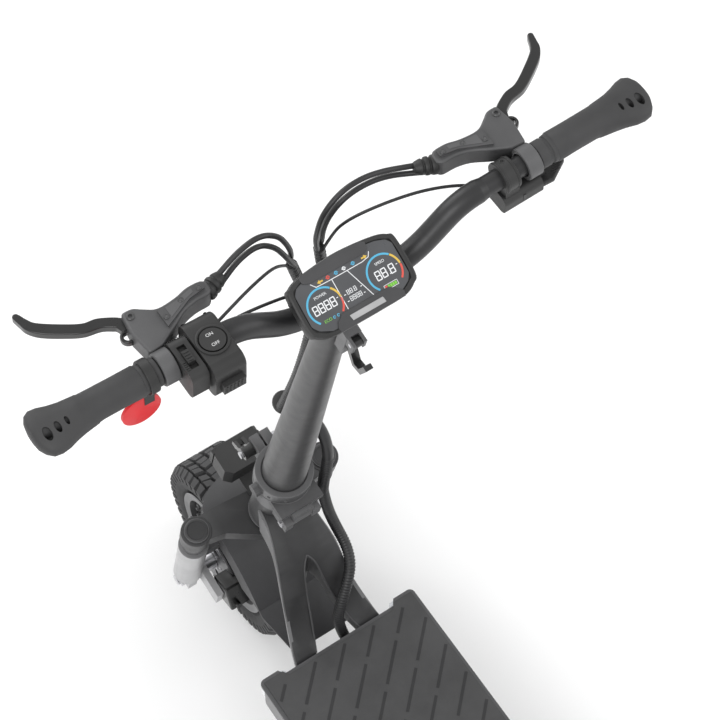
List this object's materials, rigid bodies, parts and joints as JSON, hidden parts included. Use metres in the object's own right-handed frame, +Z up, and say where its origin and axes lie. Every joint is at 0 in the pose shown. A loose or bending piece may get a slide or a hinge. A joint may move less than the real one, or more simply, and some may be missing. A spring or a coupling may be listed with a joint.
{
  "type": "electric kick scooter",
  "caption": "Folding off-road electric kick scooter with hub motor wheels, disc brakes, sprung fork and swingarm, wide deck, display and riser handlebar.",
  "frame": {"origin": "on the ground midway along the scooter, in its plane of symmetry", "axes": "+X forward, +Y to the rider's left, +Z up"},
  "size_m": [1.2784, 0.7116, 1.2981],
  "materials": {
    "deck_black": "satin",
    "frame_grey": "satin",
    "stem_grey": "satin",
    "cast_grey": "satin",
    "light_grey": "satin",
    "fork_silver": "satin",
    "steel": "satin",
    "black_metal": "gloss",
    "motor_black": "satin",
    "black_plastic": "matte",
    "guard_plastic": "matte",
    "grip_rubber": "matte",
    "tyre": "matte",
    "mat_rubber": "matte",
    "cable_black": "satin",
    "lens_clear": "gloss",
    "lens_red": "gloss",
    "screen": "gloss",
    "battery_wrap": "satin"
  },
  "bodies": {
    "frame": {"neck_frame": "frame_grey", "headset_cups": "steel", "deck_shell": "deck_black", "deck_plate": "light_grey", "grip_mat": "mat_rubber", "corner_guards": "light_grey", "corner_lights": "lens_clear", "battery_and_controllers": "battery_wrap", "swingarm_pin": "steel", "conduit": "cable_black"},
    "steer": {"fork_crown": "frame_grey", "fork_stanchions": "black_metal", "fold_base": "cast_grey", "fold_pin": "steel", "headlight_housing": "black_plastic", "headlight_lens": "lens_clear", "conduit_loop": "cable_black"},
    "fork_sliders": {"fork_lowers": "fork_silver", "front_axle": "steel", "front_caliper": "fork_silver", "front_mudguard": "guard_plastic"},
    "front_wheel": {"front_tyre": "tyre", "front_hub_motor": "motor_black", "front_brake_disc": "steel"},
    "stem": {"stem_tube": "stem_grey", "fold_collar": "cast_grey", "stem_clamp": "stem_grey", "hook_bracket": "cast_grey", "cockpit_bolts": "steel", "handlebar": "stem_grey", "grips": "grip_rubber", "brake_bodies": "cast_grey", "brake_lids": "cast_grey", "light_pod": "black_plastic", "switch_pod": "black_plastic", "throttle_housing": "black_plastic", "display_bracket": "black_plastic", "display_housing": "black_plastic", "display_screen": "screen", "bar_reflector": "lens_red", "bar_cables": "cable_black", "cable_sleeves": "cable_black"},
    "latch_knob": {"latch_knob": "black_plastic"},
    "clamp_lever": {"clamp_lever": "black_metal"},
    "stem_hook": {"stem_hook": "black_metal"},
    "brake_lever_left": {"brake_lever_left": "black_metal"},
    "brake_lever_right": {"brake_lever_right": "black_metal"},
    "throttle_lever": {"throttle_lever": "black_plastic"},
    "power_rocker": {"power_rocker": "black_plastic"},
    "horn_button": {"horn_button": "black_plastic"},
    "light_slider": {"light_slider": "black_plastic"},
    "swingarm": {"swingarm": "frame_grey", "rear_axle": "steel", "rear_caliper": "fork_silver", "rear_mudguard": "guard_plastic", "tail_light": "lens_red"},
    "rear_wheel": {"rear_tyre": "tyre", "rear_hub_motor": "motor_black", "rear_brake_disc": "steel"},
    "kickstand": {"kickstand": "black_metal"}
  },
  "joints": [
    {"name": "steering", "type": "hinge", "parent": "frame", "child": "steer", "pos_m": [0.373, 0, 0.55], "axis": [-0.225, 0, 0.9744], "range_deg": [-45, 45]},
    {"name": "fork_travel", "type": "slide", "parent": "steer", "child": "fork_sliders", "axis": [-0.225, 0, 0.9744], "range_m": [0, 0.035], "stiffness_N_per_m": 12000, "springref_m": -0.03},
    {"name": "front_wheel_spin", "type": "hinge", "parent": "fork_sliders", "child": "front_wheel", "pos_m": [0.49421, 0, 0.145], "axis": [0, 1, 0], "continuous": true},
    {"name": "stem_fold", "type": "hinge", "parent": "steer", "child": "stem", "pos_m": [0.33665, 0, 0.4985], "axis": [0, -1, 0], "range_deg": [0, 88]},
    {"name": "latch_knob_pull", "type": "slide", "parent": "steer", "child": "latch_knob", "axis": [0.9744, 0, 0.225], "range_m": [0, 0.006], "stiffness_N_per_m": 800, "springref_m": -0.004},
    {"name": "clamp_lever_turn", "type": "hinge", "parent": "stem", "child": "clamp_lever", "pos_m": [0.42172, 0, 0.56125], "axis": [0, -1, 0], "range_deg": [0, 100]},
    {"name": "stem_hook_swing", "type": "hinge", "parent": "stem", "child": "stem_hook", "pos_m": [0.20063, 0, 1.13214], "axis": [0, 1, 0], "range_deg": [0, 70]},
    {"name": "brake_lever_left_pull", "type": "hinge", "parent": "stem", "child": "brake_lever_left", "pos_m": [0.267, 0.21373, 1.27534], "axis": [0, -0.0506, 0.9987], "range_deg": [0, 22], "stiffness_Nm_per_rad": 1.2, "springref_deg": -14.32},
    {"name": "brake_lever_right_pull", "type": "hinge", "parent": "stem", "child": "brake_lever_right", "pos_m": [0.267, -0.21373, 1.27534], "axis": [0, -0.0506, -0.9987], "range_deg": [0, 22], "stiffness_Nm_per_rad": 1.2, "springref_deg": -14.32},
    {"name": "throttle_press", "type": "hinge", "parent": "stem", "child": "throttle_lever", "pos_m": [0.211, -0.22024, 1.24563], "axis": [0, 0.9987, -0.0506], "range_deg": [0, 30], "stiffness_Nm_per_rad": 0.15, "springref_deg": -17.19},
    {"name": "power_rocker_tilt", "type": "hinge", "parent": "stem", "child": "power_rocker", "pos_m": [0.199, 0.16347, 1.28901], "axis": [0, 0.9987, 0.0506], "range_deg": [-4, 4]},
    {"name": "horn_button_press", "type": "slide", "parent": "stem", "child": "horn_button", "axis": [1, 0, 0], "range_m": [0, 0.002], "stiffness_N_per_m": 400, "springref_m": -0.001},
    {"name": "light_slider_slide", "type": "slide", "parent": "stem", "child": "light_slider", "axis": [1, 0, 0], "range_m": [-0.005, 0.006]},
    {"name": "swingarm_swing", "type": "hinge", "parent": "frame", "child": "swingarm", "pos_m": [-0.322, 0, 0.19], "axis": [0, 1, 0], "range_deg": [0, 12], "stiffness_Nm_per_rad": 400, "springref_deg": -11.46},
    {"name": "rear_wheel_spin", "type": "hinge", "parent": "swingarm", "child": "rear_wheel", "pos_m": [-0.49421, 0, 0.145], "axis": [0, 1, 0], "continuous": true},
    {"name": "kickstand_swing", "type": "hinge", "parent": "frame", "child": "kickstand", "pos_m": [0.06, 0.108, 0.15], "axis": [0, 1, 0], "range_deg": [0, 92]}
  ]
}
